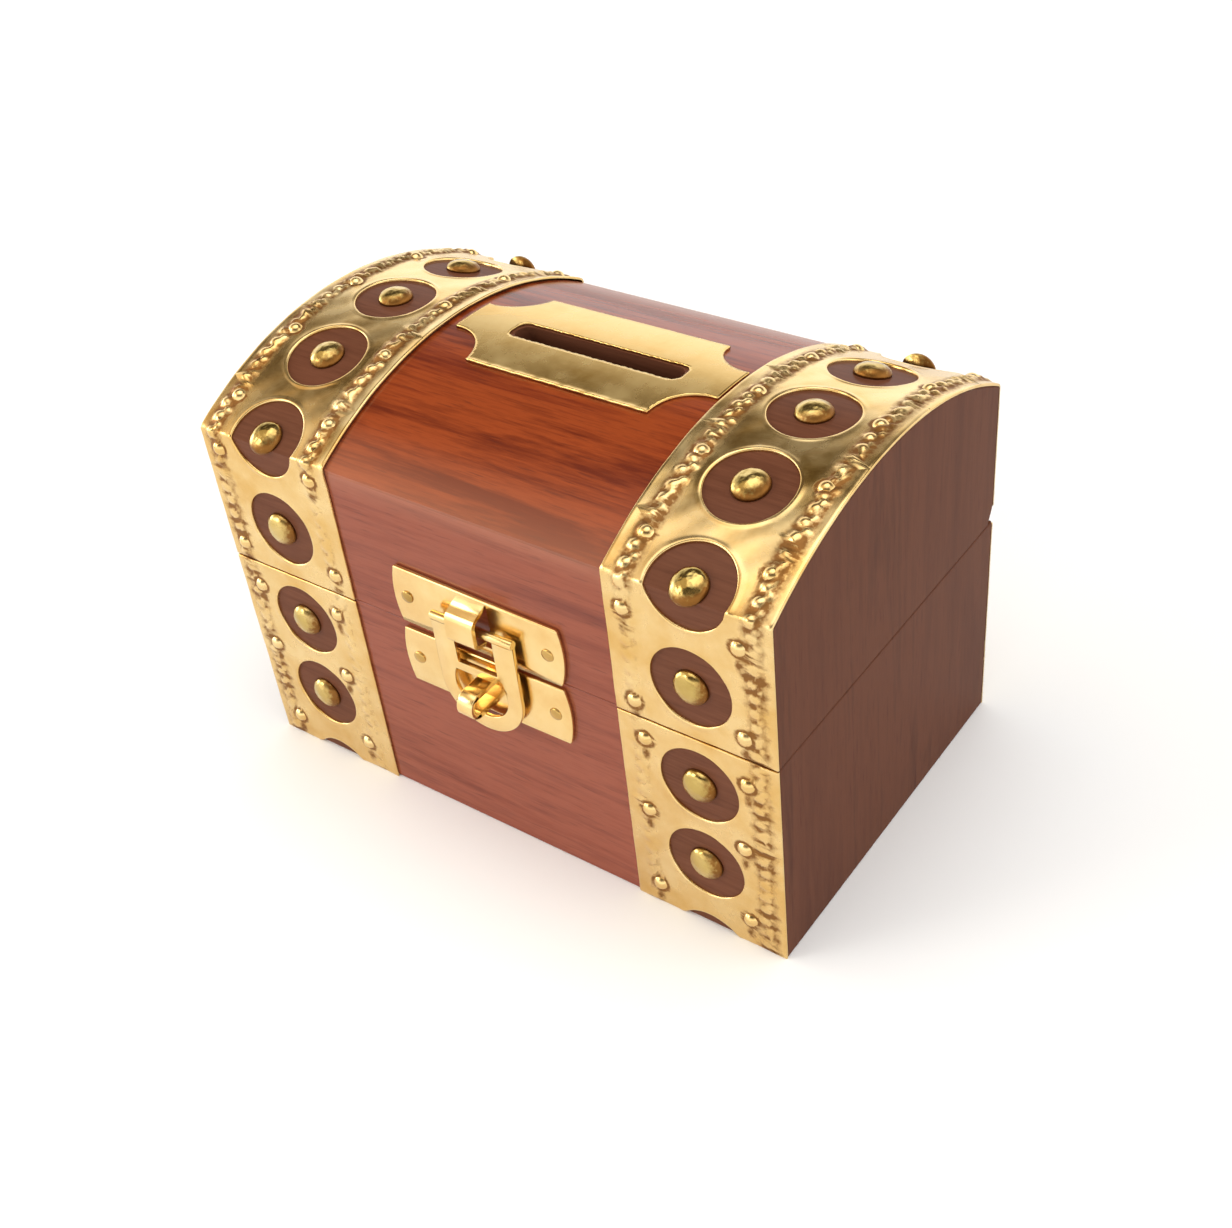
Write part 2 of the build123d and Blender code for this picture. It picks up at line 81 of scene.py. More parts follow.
def add_node(tree, kind, inputs=None, **settings):
    """Adds a node, sets it up, and joins or sets its inputs: a socket given as a value is linked."""
    made = tree.nodes.new(kind)
    for name, value in settings.items():
        setattr(made, name, value)
    for socket, value in (inputs or {}).items():
        if isinstance(value, bpy.types.NodeSocket):
            tree.links.new(value, made.inputs[socket])
        else:
            made.inputs[socket].default_value = value
    return made


def new_material(name):
    """A material with nothing in it but its output, and its node tree."""
    material = bpy.data.materials.new(name)
    material.use_nodes = True
    material.node_tree.nodes.clear()
    return material, material.node_tree


def set_stops(ramp_node, stops):
    """Gives a colour ramp its stops, as (place, hex colour)."""
    ramp = ramp_node.color_ramp
    while len(ramp.elements) < len(stops):
        ramp.elements.new(1)
    for element, (place, colour) in zip(ramp.elements, stops):
        element.position = place
        element.color = linear(colour)


def varnished_hardwood(name, stretch, shift, stops, gloss, strap_line_mm, slot_shaded, shoulder_highlight):
    """Hardwood under clear varnish: dark streaks and short pores along the grain, and a soft gloss.

    stretch is how much longer the figure is along X, Y and Z; the long one is the grain. Outside,
    further along X than strap_line_mm, where the straps lie, it is darker, which shows in the strap
    holes; where slot_shaded, the sawn wood of the coin slot gets the same dark colour as painted
    shade. Along the shoulder a painted highlight makes it paler."""
    material, tree = new_material(name)
    place = add_node(tree, "ShaderNodeTexCoord").outputs["Object"]
    grain = add_node(tree, "ShaderNodeMapping", {
        "Vector": place, "Location": shift, "Scale": [1 / (MM * long) for long in stretch]}).outputs["Vector"]
    broad = add_node(tree, "ShaderNodeTexNoise", {
        "Vector": grain, "Scale": streaks_per_mm, "Detail": 5.0, "Roughness": 0.62,
        "Distortion": 0.6}).outputs["Fac"]
    fibre = add_node(tree, "ShaderNodeTexNoise", {
        "Vector": grain, "Scale": fibres_per_mm, "Detail": 4.0, "Roughness": 0.7}).outputs["Fac"]
    pore = add_node(tree, "ShaderNodeTexNoise", {
        "Vector": grain, "Scale": pores_per_mm, "Detail": 2.0, "Roughness": 0.5}).outputs["Fac"]
    figure = add_node(tree, "ShaderNodeMath", {0: fibre, 1: 0.34, 2: broad}, operation="MULTIPLY_ADD")
    colour = add_node(tree, "ShaderNodeValToRGB", {"Fac": figure.outputs[0]})
    set_stops(colour, stops)
    pore_mask = add_node(tree, "ShaderNodeMapRange", {
        "Value": pore, "From Min": 0.60, "From Max": 0.72, "To Min": 0.0, "To Max": 0.4}).outputs["Result"]
    wood = add_node(tree, "ShaderNodeMix", {
        "Factor": pore_mask, "A": colour.outputs["Color"], "B": linear("#4A2016")}, data_type="RGBA")
    axes = add_node(tree, "ShaderNodeSeparateXYZ", {"Vector": place}).outputs
    x, y, z = axes["X"], axes["Y"], axes["Z"]
    from_shoulder = add_node(tree, "ShaderNodeMath", {0: z, 1: shoulder_mm * MM}, operation="SUBTRACT")
    shoulder_gap = add_node(tree, "ShaderNodeMath", {0: from_shoulder.outputs[0]}, operation="ABSOLUTE")
    # A painted highlight along the shoulder: the wood turns paler towards it
    shoulder_highlight_mask = add_node(tree, "ShaderNodeMapRange", {
        "Value": shoulder_gap.outputs[0], "From Max": shoulder_highlight_reach_mm * MM, "To Min": shoulder_highlight, "To Max": 0.0})
    highlit_wood = add_node(tree, "ShaderNodeMix", {
        "Factor": shoulder_highlight_mask.outputs["Result"], "A": wood.outputs["Result"], "B": linear("#C08468")},
        data_type="RGBA")
    from_middle = add_node(tree, "ShaderNodeMath", {0: x}, operation="ABSOLUTE").outputs[0]
    beyond = add_node(tree, "ShaderNodeMath", {
        0: from_middle, 1: strap_line_mm * MM}, operation="GREATER_THAN")
    depth = add_node(tree, "ShaderNodeMath", {0: y}, operation="ABSOLUTE").outputs[0]
    on_face = add_node(tree, "ShaderNodeMath", {
        0: depth, 1: (half_depth_mm - flat_skin_mm) * MM}, operation="GREATER_THAN")
    from_axis = add_node(tree, "ShaderNodeVectorMath", {
        0: place, 1: (0, 1, 1), 2: (0, 0, (dome_radius_mm - crown_mm) * MM)}, operation="MULTIPLY_ADD")
    dome_reach = add_node(tree, "ShaderNodeVectorMath", {0: from_axis.outputs[0]}, operation="LENGTH")
    on_dome = add_node(tree, "ShaderNodeMath", {
        0: dome_reach.outputs["Value"], 1: (dome_radius_mm - dome_skin_mm) * MM}, operation="GREATER_THAN")
    outside = add_node(tree, "ShaderNodeMath", {
        0: on_face.outputs[0], 1: on_dome.outputs[0]}, operation="MAXIMUM")
    under = add_node(tree, "ShaderNodeMath", {
        0: beyond.outputs[0], 1: outside.outputs[0]}, operation="MULTIPLY")
    # Painted shade in the coin slot's sawn wood
    in_length = add_node(tree, "ShaderNodeMath", {
        0: x, 1: slot_middle_mm[0] * MM, 2: (slot_length_mm / 2 + slot_shade_rim_mm[0]) * MM}, operation="COMPARE")
    in_width = add_node(tree, "ShaderNodeMath", {
        0: y, 1: slot_middle_mm[1] * MM, 2: (slot_width_mm / 2 + slot_shade_rim_mm[1]) * MM if slot_shaded else -1.0},
        operation="COMPARE")
    slot_shade_mask = add_node(tree, "ShaderNodeMath", {
        0: in_length.outputs[0], 1: in_width.outputs[0]}, operation="MULTIPLY")
    covered_or_slot_shaded = add_node(tree, "ShaderNodeMath", {
        0: under.outputs[0], 1: slot_shade_mask.outputs[0]}, operation="MAXIMUM")
    # The dark colour for the wood under the straps and for the painted shade in the coin slot
    dark_and_shade_colour = add_node(tree, "ShaderNodeMix", {
        "Factor": fibre, "A": linear("#4F2D1F"), "B": linear("#7A4C37")}, data_type="RGBA")
    seen_wood = add_node(tree, "ShaderNodeMix", {
        "Factor": covered_or_slot_shaded.outputs[0], "A": highlit_wood.outputs["Result"], "B": dark_and_shade_colour.outputs["Result"]},
        data_type="RGBA")
    coat = add_node(tree, "ShaderNodeMapRange", {
        "Value": covered_or_slot_shaded.outputs[0], "To Min": gloss, "To Max": 0.2}).outputs["Result"]
    grooves = add_node(tree, "ShaderNodeMath", {0: pore_mask, 1: -0.6, 2: fibre}, operation="MULTIPLY_ADD")
    bump = add_node(tree, "ShaderNodeBump", {
        "Height": grooves.outputs[0], "Strength": 0.35, "Distance": 0.00006})
    shader = add_node(tree, "ShaderNodeBsdfPrincipled", {
        "Base Color": seen_wood.outputs["Result"], "Roughness": 0.55, "Specular IOR Level": 0.0,
        "Coat Weight": coat, "Coat Roughness": 0.2, "Coat IOR": 1.5, "Normal": bump.outputs["Normal"]})
    tree.links.new(shader.outputs[0], add_node(tree, "ShaderNodeOutputMaterial").inputs[0])
    return material


# Front and back: an even red-brown with a soft shine. Dome: deeper and more orange, and the
# glossiest, from hands. Ends: the same wood with painted shade, a dark walnut brown, with hardly
# any shine.
front_stops = [(0.42, "#652A1B"), (0.56, "#813E2A"), (0.68, "#8F4A34"), (0.86, "#743626")]
dome_stops = [(0.42, "#4C1708"), (0.53, "#722A11"), (0.66, "#93401B"), (0.82, "#65240E")]
end_shaded_stops = [(0.38, "#442417"), (0.60, "#5D3522"), (0.85, "#512C1C")]
strap_line_mm = 31.2
far_out_mm = 1000.0
board_woods = (
    (varnished_hardwood("hardwood_front", (16, 1, 1), (0.3, 1.7, 4.1), front_stops, 0.6,
                        strap_line_mm, slot_shaded=False, shoulder_highlight=0.3),
     ("case_front_board", "case_back_board", "lid_front_rail", "lid_back_rail", "bottom_board")),
    (varnished_hardwood("hardwood_dome", (16, 1, 1), (3.3, 0.2, 6.4), dome_stops, 0.7,
                        strap_line_mm, slot_shaded=True, shoulder_highlight=0.3),
     ("lid_top_board",)),
    (varnished_hardwood("hardwood_end_shaded", (1.2, 1.2, 14), (5.0, 2.4, 0.8), end_shaded_stops, 0.25,
                        far_out_mm, slot_shaded=False, shoulder_highlight=0.0),
     ("case_left_end", "case_right_end", "lid_left_end", "lid_right_end")),
)


def refinish(node, material):
    """Gives a CAD piece its finish."""
    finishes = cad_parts[node].data.materials
    finishes.clear()
    finishes.append(material)


for wood, boards in board_woods:
    for board in boards:
        refinish(board, wood)


# The straps. Thin brass sheet, punched with a row of 16 mm holes, rolled along both edges with
# a rope of beads, and bent over the lid; separate short pieces go down the case. The beads
# stand up on the dome and are beaten nearly flat where the sheet is nailed to the flat faces.
sheet_mm = 0.5
bend_mm = 1.1
hole_radius_mm = 8.0
edge_radius_mm = 0.26
edge_drop_mm = 0.16
hole_rim_mm = 0.10
inner_beads_mm = 4.3
outer_beads_mm = 3.5
bead_pitch_mm = 3.1
beads_from_end_mm = 1.5
bead_on_flat_mm = 0.20
bead_on_dome_mm = 0.54
sheet_wave_mm = 0.035
stroke_depth_mm = 0.12
dome_half_angle = math.asin(half_depth_mm / dome_radius_mm)
dome_end_mm = shoulder_mm + 2 * dome_radius_mm * dome_half_angle

# The brass changes tone over 9 mm or so. Its scuffs are drawn as a speckle 0.9 mm apart, which is
# coarser than real ones, so that they show.
brass_drift_mm = 9.0
speckle_mm = 0.9
speckle_depth_mm = 0.02


def polished_brass(name, stops, roughness, dent_mm, dent_depth_mm):
    """Polished brass: warm gold, turned brown by tarnish and painted shade in its creases, with slow dents
    that bend reflections.
    """
    material, tree = new_material(name)
    place = add_node(tree, "ShaderNodeTexCoord").outputs["Object"]
    cloud = add_node(tree, "ShaderNodeTexNoise", {
        "Vector": place, "Scale": 1 / (brass_drift_mm * MM), "Detail": 4.0, "Roughness": 0.6}).outputs["Fac"]
    colour = add_node(tree, "ShaderNodeValToRGB", {"Fac": cloud})
    set_stops(colour, stops)
    # How much tarnish and painted shade darken each place, read from the pieces' vertices
    grime_and_shade = add_node(tree, "ShaderNodeAttribute", attribute_name="grime_and_shade").outputs["Fac"]
    speckle = add_node(tree, "ShaderNodeTexNoise", {
        "Vector": place, "Scale": 1 / (speckle_mm * MM), "Detail": 3.0,
        "Roughness": 0.65}).outputs["Fac"]
    rough_grime_and_shade = add_node(tree, "ShaderNodeMath", {0: grime_and_shade, 1: speckle}, operation="MULTIPLY")
    stain_and_shade = add_node(tree, "ShaderNodeMapRange", {
        "Value": rough_grime_and_shade.outputs[0], "From Min": 0.08, "From Max": 0.32,
        "To Max": 0.9}).outputs["Result"]
    metal = add_node(tree, "ShaderNodeMix", {
        "Factor": stain_and_shade, "A": colour.outputs["Color"], "B": linear("#7C4C1E")}, data_type="RGBA")
    gloss = add_node(tree, "ShaderNodeMapRange", {
        "Value": cloud, "From Min": 0.3, "From Max": 0.7,
        "To Min": roughness * 0.75, "To Max": roughness * 1.3}).outputs["Result"]
    dulled = add_node(tree, "ShaderNodeMath", {0: stain_and_shade, 1: 0.3, 2: gloss}, operation="MULTIPLY_ADD")
    dents = add_node(tree, "ShaderNodeTexNoise", {
        "Vector": place, "Scale": 1 / (dent_mm * MM), "Detail": 2.0, "Roughness": 0.45}).outputs["Fac"]
    bent = add_node(tree, "ShaderNodeBump", {
        "Height": dents, "Strength": 1.0, "Distance": dent_depth_mm * MM})
    scuffs = add_node(tree, "ShaderNodeBump", {
        "Height": speckle, "Strength": 0.25, "Distance": speckle_depth_mm * MM,
        "Normal": bent.outputs["Normal"]})
    shader = add_node(tree, "ShaderNodeBsdfPrincipled", {
        "Base Color": metal.outputs["Result"], "Metallic": 1.0, "Roughness": dulled.outputs[0],
        "Normal": scuffs.outputs["Normal"]})
    tree.links.new(shader.outputs[0], add_node(tree, "ShaderNodeOutputMaterial").inputs[0])
    return material


# The straps' brass: pale worn gold, with long soft dents that break up its reflections
strap_brass = polished_brass(
    "brass_sheet_polished", [(0.3, "#D5AC65"), (0.52, "#E0BF82"), (0.75, "#E8CD96")], 0.24, 7.0, 0.10)


def read_points(piece):
    """A mesh's vertices as an array of rows."""
    points = np.empty(len(piece.data.vertices) * 3, np.float32)
    piece.data.vertices.foreach_get("co", points)
    return points.reshape(-1, 3).astype(float)


def write_points(piece, points):
    """Moves a mesh's vertices to the rows of an array."""
    piece.data.vertices.foreach_set("co", points.astype(np.float32).ravel())
    piece.data.update()


def take_up(piece):
    """Makes one piece the only one selected."""
    bpy.ops.object.select_all(action="DESELECT")
    piece.select_set(True)
    bpy.context.view_layer.objects.active = piece


def join_up(pieces, name):
    """Joins pieces into the first of them, and names it."""
    bpy.ops.object.select_all(action="DESELECT")
    for piece in pieces:
        piece.select_set(True)
    bpy.context.view_layer.objects.active = pieces[0]
    bpy.ops.object.join()
    pieces[0].name = name
    return pieces[0]


def apply_modifier(piece, kind, **settings):
    """Adds a modifier, sets it up and applies it."""
    take_up(piece)
    modifier = piece.modifiers.new(kind.lower(), kind)
    for name, value in settings.items():
        setattr(modifier, name, value)
    bpy.ops.object.modifier_apply(modifier=modifier.name)


def hole_ring(centre, low, high, notch_v):
    """The sheet round one hole, out to its oblong: a plain grid, rolled up into a ring.

    Its rows are closer at both edges and its columns at the corners, for the edges to be rounded.
    notch_v is the middle of the half hole at the strap's foot, which bites into the oblong."""
    turns, rows = 168, 22
    bpy.ops.object.select_all(action="DESELECT")
    bpy.ops.mesh.primitive_grid_add(x_subdivisions=turns, y_subdivisions=rows, size=1)
    ring = bpy.context.object
    places = np.rint((read_points(ring)[:, :2] + 0.5) * (turns, rows)).astype(int)
    table = np.linspace(0, 2 * math.pi, turns + 1)
    for corner in ((low[0], low[1]), (high[0], low[1]), (low[0], high[1]), (high[0], high[1])):
        inward = [math.copysign(edge_radius_mm, middle - value) for middle, value in zip(centre, corner)]
        near_corner = (corner, (corner[0] + inward[0], corner[1]), (corner[0], corner[1] + inward[1]))
        before, turn, after = sorted(math.atan2(v - centre[1], u - centre[0]) % (2 * math.pi)
                                     for u, v in near_corner)
        column = round(turn / (2 * math.pi) * turns)
        table[column - 1:column + 2] = before, turn, after
    way = np.stack([np.cos(table), np.sin(table)], axis=1)
    way[np.abs(way) < 1e-9] = 1e-9
    ahead = np.where(way > 0, np.array(high) - centre, np.array(low) - centre)
    reach = (ahead / way).min(axis=1)
    to_notch = notch_v - centre[1]
    bite = (way[:, 1] * to_notch) ** 2 - to_notch ** 2 + hole_radius_mm ** 2
    meets = (bite > 0) & (way[:, 1] * to_notch > 0)
    reach[meets] = np.minimum(reach[meets], way[meets, 1] * to_notch - np.sqrt(bite[meets]))
    inner = np.minimum(hole_radius_mm, reach)
    share = np.interp(np.arange(rows + 1), [0, 2, rows - 2, rows], [0, 0, 1, 1])[places[:, 1]]
    from_edge_mm = np.array([0, 0.1, *[0.25] * (rows - 3), 0.1, 0])[places[:, 1]]
    width = (reach - inner)[places[:, 0]]
    near = np.minimum(from_edge_mm, width / 2)
    out = inner[places[:, 0]] + near + share * (width - 2 * near)
    out = np.where(places[:, 1] > rows - 2, reach[places[:, 0]] - near, out)
    flat = np.zeros((len(places), 3))
    flat[:, :2] = np.array(centre) + way[places[:, 0]] * out[:, None]
    write_points(ring, flat)
    return ring


def punched_strip(name, low, high, holes, notch_v):
    """A flat strip with a row of holes: rings of sheet set side by side and welded together."""
    cuts = [low[1], *[(a + b) / 2 for a, b in zip(holes, holes[1:])], high[1]]
    rings = [hole_ring(((low[0] + high[0]) / 2, v), (low[0], cut_low), (high[0], cut_high), notch_v)
             for v, cut_low, cut_high in zip(holes, cuts, cuts[1:])]
    strip = join_up(rings, name)
    bpy.ops.object.mode_set(mode="EDIT")
    bpy.ops.mesh.select_all(action="SELECT")
    bpy.ops.mesh.remove_doubles(threshold=0.02)
    bpy.ops.mesh.delete_loose(use_verts=True, use_edges=True, use_faces=False)
    bpy.ops.mesh.select_all(action="SELECT")
    bpy.ops.mesh.flip_normals()
    bpy.ops.object.mode_set(mode="OBJECT")
    return strip


def beads_along(column, start, end, seed):
    """The rope of beads down one edge of a strap: a large and a small bead in turn, as (u, v, radius)."""
    draw = random.Random(seed)
    beads = []
    v = start
    while v < end:
        beads.append((column - 0.35 + draw.uniform(-0.25, 0.25), v, draw.uniform(1.05, 1.3)))
        small_v = v + bead_pitch_mm * 0.48
        beads.append((column + 0.6 + draw.uniform(-0.25, 0.25), small_v, draw.uniform(0.7, 0.95)))
        v += bead_pitch_mm * draw.uniform(0.92, 1.08)
    return beads


def bead_height(u, v, beads):
    """How high the beads stand at each place, as a share of their full height."""
    height = np.zeros_like(u)
    for bead_u, bead_v, radius in beads:
        near = np.abs(v - bead_v) < radius * 1.6
        fall = np.hypot(u[near] - bead_u, v[near] - bead_v) / radius
        height[near] = np.maximum(height[near], radius * np.clip(1.15 - fall ** 2, 0, 1) ** 0.8)
    return height


def on_skin(u, v, height):
    """Bends flat places round the box: v runs up the front, over the dome and down the back."""
    angle = np.clip((v - shoulder_mm) / dome_radius_mm, 0, 2 * dome_half_angle) - dome_half_angle
    down = np.minimum(v - shoulder_mm, 0) - np.maximum(v - dome_end_mm, 0)
    knots = [shoulder_mm - bend_mm, shoulder_mm + bend_mm, dome_end_mm - bend_mm, dome_end_mm + bend_mm]
    inner = dome_half_angle - bend_mm / dome_radius_mm
    facing = np.interp(v, knots, [-math.pi / 2, -inner, inner, math.pi / 2])
    y = dome_radius_mm * np.sin(angle) + height * np.sin(facing)
    centre_z = crown_mm - dome_radius_mm
    z = centre_z + dome_radius_mm * np.cos(angle) + down + height * np.cos(facing)
    return np.stack([u, y, z], axis=1) * MM


def name_grime_and_shade(piece, grime_and_shade):
    """Keeps how much tarnish and painted shade darken each vertex, for the brass to read."""
    layer = piece.data.attributes.new("grime_and_shade", "FLOAT", "POINT")
    layer.data.foreach_set("value", np.clip(grime_and_shade, 0, 1).astype(np.float32))


def pin_places(node):
    """The middles of a CAD node's separate heads, as points in millimetres."""
    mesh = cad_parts[node].data
    points = read_points(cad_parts[node])
    group = np.arange(len(points))
    edges = np.array([e.vertices[:] for e in mesh.edges])
    rounded = {}
    for i, point in enumerate(np.round(points * 20000).astype(int)):
        group[i] = rounded.setdefault(tuple(point), i)
    while True:
        least = np.minimum(group[edges[:, 0]], group[edges[:, 1]])
        before = group.copy()
        np.minimum.at(group, edges[:, 0], least)
        np.minimum.at(group, edges[:, 1], least)
        group = group[group]
        if (group == before).all():
            break
    return [points[group == g].mean(0) / MM for g in np.unique(group)]


def pin_shadows_and_tarnish(u, v, pins, run):
    """Painted shadow rings round the sheet's pins, and the runs of tarnish below them."""
    marks = np.zeros_like(u)
    for x, y, z in pins:
        angle = math.atan2(y, z - crown_mm + dome_radius_mm)
        on_dome = shoulder_mm + dome_radius_mm * (angle + dome_half_angle)
        pin_v = on_dome if z > shoulder_mm else z if y < 0 else dome_end_mm + shoulder_mm - z
        # A painted shadow ring round the pin
        ring = np.exp(-((np.hypot(u - x, v - pin_v) - 1.7) / 0.45) ** 2)
        below = np.exp(-((u - x) / 0.8) ** 2) * np.clip(1 - np.abs(pin_v - v - 3.4) / 2.4, 0, 1)
        marks = np.max([marks, ring, run * below], axis=0)
    return marks


def strap_piece(node, sign, v_low, v_high, holes, notch_v, seed, lift):
    """One strap piece: sheet, holes, beads, and then bent round the box in place of its CAD node.

    sign is -1 for the box's left end and 1 for its right. lift is how far, in millimetres, the
    inner edge has sprung off the wood on the dome."""
    low, high = [corner.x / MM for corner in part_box(node)]
    piece = punched_strip(node + "_sheet", (low, v_low), (high, v_high), holes, notch_v)
    apply_modifier(piece, "SOLIDIFY", thickness=sheet_mm, offset=1.0)
    u, v, height = read_points(piece).T
    top = np.clip(height / sheet_mm, 0, 1)
    inner_edge, outer_edge = (low, high) if sign > 0 else (high, low)
    columns = (inner_edge + sign * inner_beads_mm, outer_edge - sign * outer_beads_mm)
    beads = [bead for i, column in enumerate(columns)
             for bead in beads_along(column, v_low + beads_from_end_mm, v_high - beads_from_end_mm, seed + i)]
    raised = bead_height(u, v, beads)
    on_dome = np.clip((v - shoulder_mm + 4) / 5, 0, 1) * np.clip((dome_end_mm + 4 - v) / 5, 0, 1)
    bead_mm = bead_on_flat_mm + (bead_on_dome_mm - bead_on_flat_mm) * on_dome

    # Rounded edges and a raised rim round each hole, then slow waves in the whole sheet, and a
    # row of strokes beside the outer beads where the sheet was beaten down on the flat faces
    to_hole = np.min([np.abs(np.hypot(u - (low + high) / 2, v - hole_v) - hole_radius_mm)
                      for hole_v in (*holes, notch_v)], axis=0)
    to_edge = np.min([to_hole, u - low, high - u, v - v_low, v_high - v], axis=0)
    rounding = -edge_drop_mm * np.clip(1 - to_edge / edge_radius_mm, 0, 1) ** 2
    rim = hole_rim_mm * np.exp(-((to_hole - 0.45) / 0.4) ** 2)
    wave = np.sin(0.43 * u + seed) * np.sin(0.31 * v + 2 * seed) + 0.6 * np.sin(0.9 * u - 0.7 * v + seed)
    stroke = np.clip(1.6 * np.sin(2.03 * v + 0.5 * np.sin(0.9 * v)) - 0.4, 0, 1)
    hatch = np.exp(-((u - columns[1]) / 2.3) ** 2) * stroke * (1 - on_dome)
    height = height + top * (raised * bead_mm + rounding + rim
                             + sheet_wave_mm * wave - stroke_depth_mm * hatch)
    sprung = np.clip(1 - np.abs(u - inner_edge) / 3.5, 0, 1) ** 2
    height = height + lift * sprung * (0.3 + 0.7 * on_dome)

    # Tarnish and painted shade between the beads, tarnish in the strokes, a painted shadow ring round
    # each pin and tarnish running below it
    near_column = np.maximum((0.3 + 0.7 * on_dome) * np.exp(-((u - columns[0]) / 2.0) ** 2),
                             (0.6 + 0.4 * on_dome) * np.exp(-((u - columns[1]) / 2.0) ** 2))
    patchy = 0.5 + 0.5 * np.sin(0.37 * v + 3 * seed) * np.sin(0.11 * v + seed)
    # The low sheet beside the bead columns gets tarnish mixed with painted shade
    grime_and_shade = near_column * (1.0 - np.clip(raised * 1.2, 0, 1)) * (0.8 + 0.5 * patchy) + 0.85 * hatch * patchy
    body, _, side = node.partition("_strap_")
    pins = pin_places(f"{body}_pins_{side.split('_')[-1]}")
    grime_and_shade = np.maximum(grime_and_shade, 0.9 * pin_shadows_and_tarnish(u, v, pins, np.where(v < shoulder_mm, 1.0, 0.0)))
    write_points(piece, on_skin(u, v, height))
    name_grime_and_shade(piece, grime_and_shade)
    bpy.ops.object.shade_smooth_by_angle(angle=math.radians(60))
    piece.data.materials.append(strap_brass)
    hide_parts(node)
    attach(piece, body)


# Where the holes are along each strap, as lengths up the front, over the dome and down the back
first_lid_hole_mm = 58.5
lid_hole_pitch_mm = 20.5
lid_hole_rows = [first_lid_hole_mm + lid_hole_pitch_mm * i for i in range(7)]
case_hole_rows = [16.4, 36.0]
foot_mm = dome_end_mm + shoulder_mm
back_hole_rows = [foot_mm - z for z in reversed(case_hole_rows)]
notch_mm = -5.5
back_bevel_mm = 3.6
parting_gap_mm = 0.2
parting_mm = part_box("case_front_board")[1].z / MM
lid_back_mm = foot_mm - (parting_mm + back_bevel_mm)
for side, sign, lift in (("left", -1, 0.45), ("right", 1, 0.1)):
    back_top_mm = foot_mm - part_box("case_strap_back_" + side)[1].z / MM
    strap_piece("lid_strap_" + side, sign, parting_mm + parting_gap_mm, lid_back_mm,
                lid_hole_rows, notch_mm, 3 + sign, lift)
    strap_piece("case_strap_front_" + side, sign, 0.0, parting_mm - parting_gap_mm,
                case_hole_rows, notch_mm, 8 + sign, lift)
    strap_piece("case_strap_back_" + side, sign, back_top_mm, foot_mm, back_hole_rows, foot_mm - notch_mm,
                13 + sign, lift)


# The round-headed nails. Solid brass tacks with a bright dome 7 mm across, knocked in by hand
# through the middle of each strap hole, so each is a little dented and turned its own way.
# A brown crescent of painted shade lies against one side of each rim, and the rim is darker all round.
nail_radius_mm = 3.5
nail_height_mm = 2.1

# The nails' brass: deeper gold and shinier than the sheet, with small dents close together
nail_brass = polished_brass(
    "brass_nail_polished", [(0.3, "#AE924E"), (0.55, "#C2A764"), (0.75, "#D1B87E")], 0.17, 2.4, 0.3)


def dome_head(name, radius, height, seed):
    """One domed head in millimetres, its rim on z = 0, with two faint hammer marks.

    Each mark is a shallow flat 27 degrees off the top, turned at random."""
    bpy.ops.object.select_all(action="DESELECT")
    bpy.ops.mesh.primitive_uv_sphere_add(segments=32, ring_count=18, radius=1)
    head = bpy.context.object
    head.name = name
    bpy.ops.object.mode_set(mode="EDIT")
    bpy.ops.mesh.select_all(action="SELECT")
    bpy.ops.mesh.bisect(plane_co=(0, 0, 0), plane_no=(0, 0, 1), use_fill=True, clear_inner=True)
    bpy.ops.object.mode_set(mode="OBJECT")
    draw = random.Random(seed)
    points = read_points(head)
    for _ in range(2):
        turn = draw.uniform(0, 2 * math.pi)
        mark = np.array([0.45 * math.cos(turn), 0.45 * math.sin(turn), 0.89])
        flat = points @ mark
        points -= np.outer(np.clip(flat - draw.uniform(0.93, 0.97), 0, 1) * 0.8, mark)
    profile = np.clip(points[:, 2], 0, 1)
    points[:, 2] = height * profile ** 0.92
    points[:, :2] *= radius
    write_points(head, points)
    bpy.ops.object.shade_smooth()
    return head


def skin_place(u, v, turn):
    """The matrix that sets a head down on the skin, in metres."""
    spot, above = on_skin(np.array([u, u]), np.array([v, v]), np.array([0.0, 1.0]))
    out = Vector(above - spot).normalized()
    side = Vector((1, 0, 0))
    axes = Matrix((side, out.cross(side), out)).transposed().to_4x4()
    return Matrix.Translation(spot) @ axes @ Matrix.Rotation(turn, 4, "Z") @ Matrix.Scale(MM, 4)


def nail_heads(node, places, body, seed):
    """The nail heads at places on the skin, as a group that stands for one CAD node."""
    draw = random.Random(seed)
    heads = []
    for i, (u, v) in enumerate(places):
        height = nail_height_mm * draw.uniform(0.93, 1.04)
        head = dome_head(f"{node}_{i}", nail_radius_mm, height, seed + i)
        turn = draw.uniform(0, 2 * math.pi)
        x, y, _ = read_points(head).T / nail_radius_mm
        # Painted shade: darker towards the rim, and darkest on one side of it
        shaded_side = np.cos(np.arctan2(y, x) + turn + draw.uniform(0, 0.9))
        name_grime_and_shade(head, np.hypot(x, y) ** 2 * (0.45 + 0.6 * shaded_side))
        head.data.transform(skin_place(u, v, turn))
        heads.append(head)
    group = join_up(heads, node + "_heads")
    group.data.materials.append(nail_brass)
    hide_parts(node)
    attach(group, body)


for side, sign in (("left", -1), ("right", 1)):
    strap_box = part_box("lid_strap_" + side)
    hole_u = (strap_box[0].x + strap_box[1].x) / 2 / MM
    nail_heads("lid_dome_nails_" + side, [(hole_u, v) for v in lid_hole_rows], "lid", 20 + sign)
    case_places = [(hole_u, v) for v in case_hole_rows + back_hole_rows]
    nail_heads("case_dome_nails_" + side, case_places, "case", 40 + sign)
    refinish("lid_pins_" + side, strap_brass)
    refinish("case_pins_" + side, strap_brass)


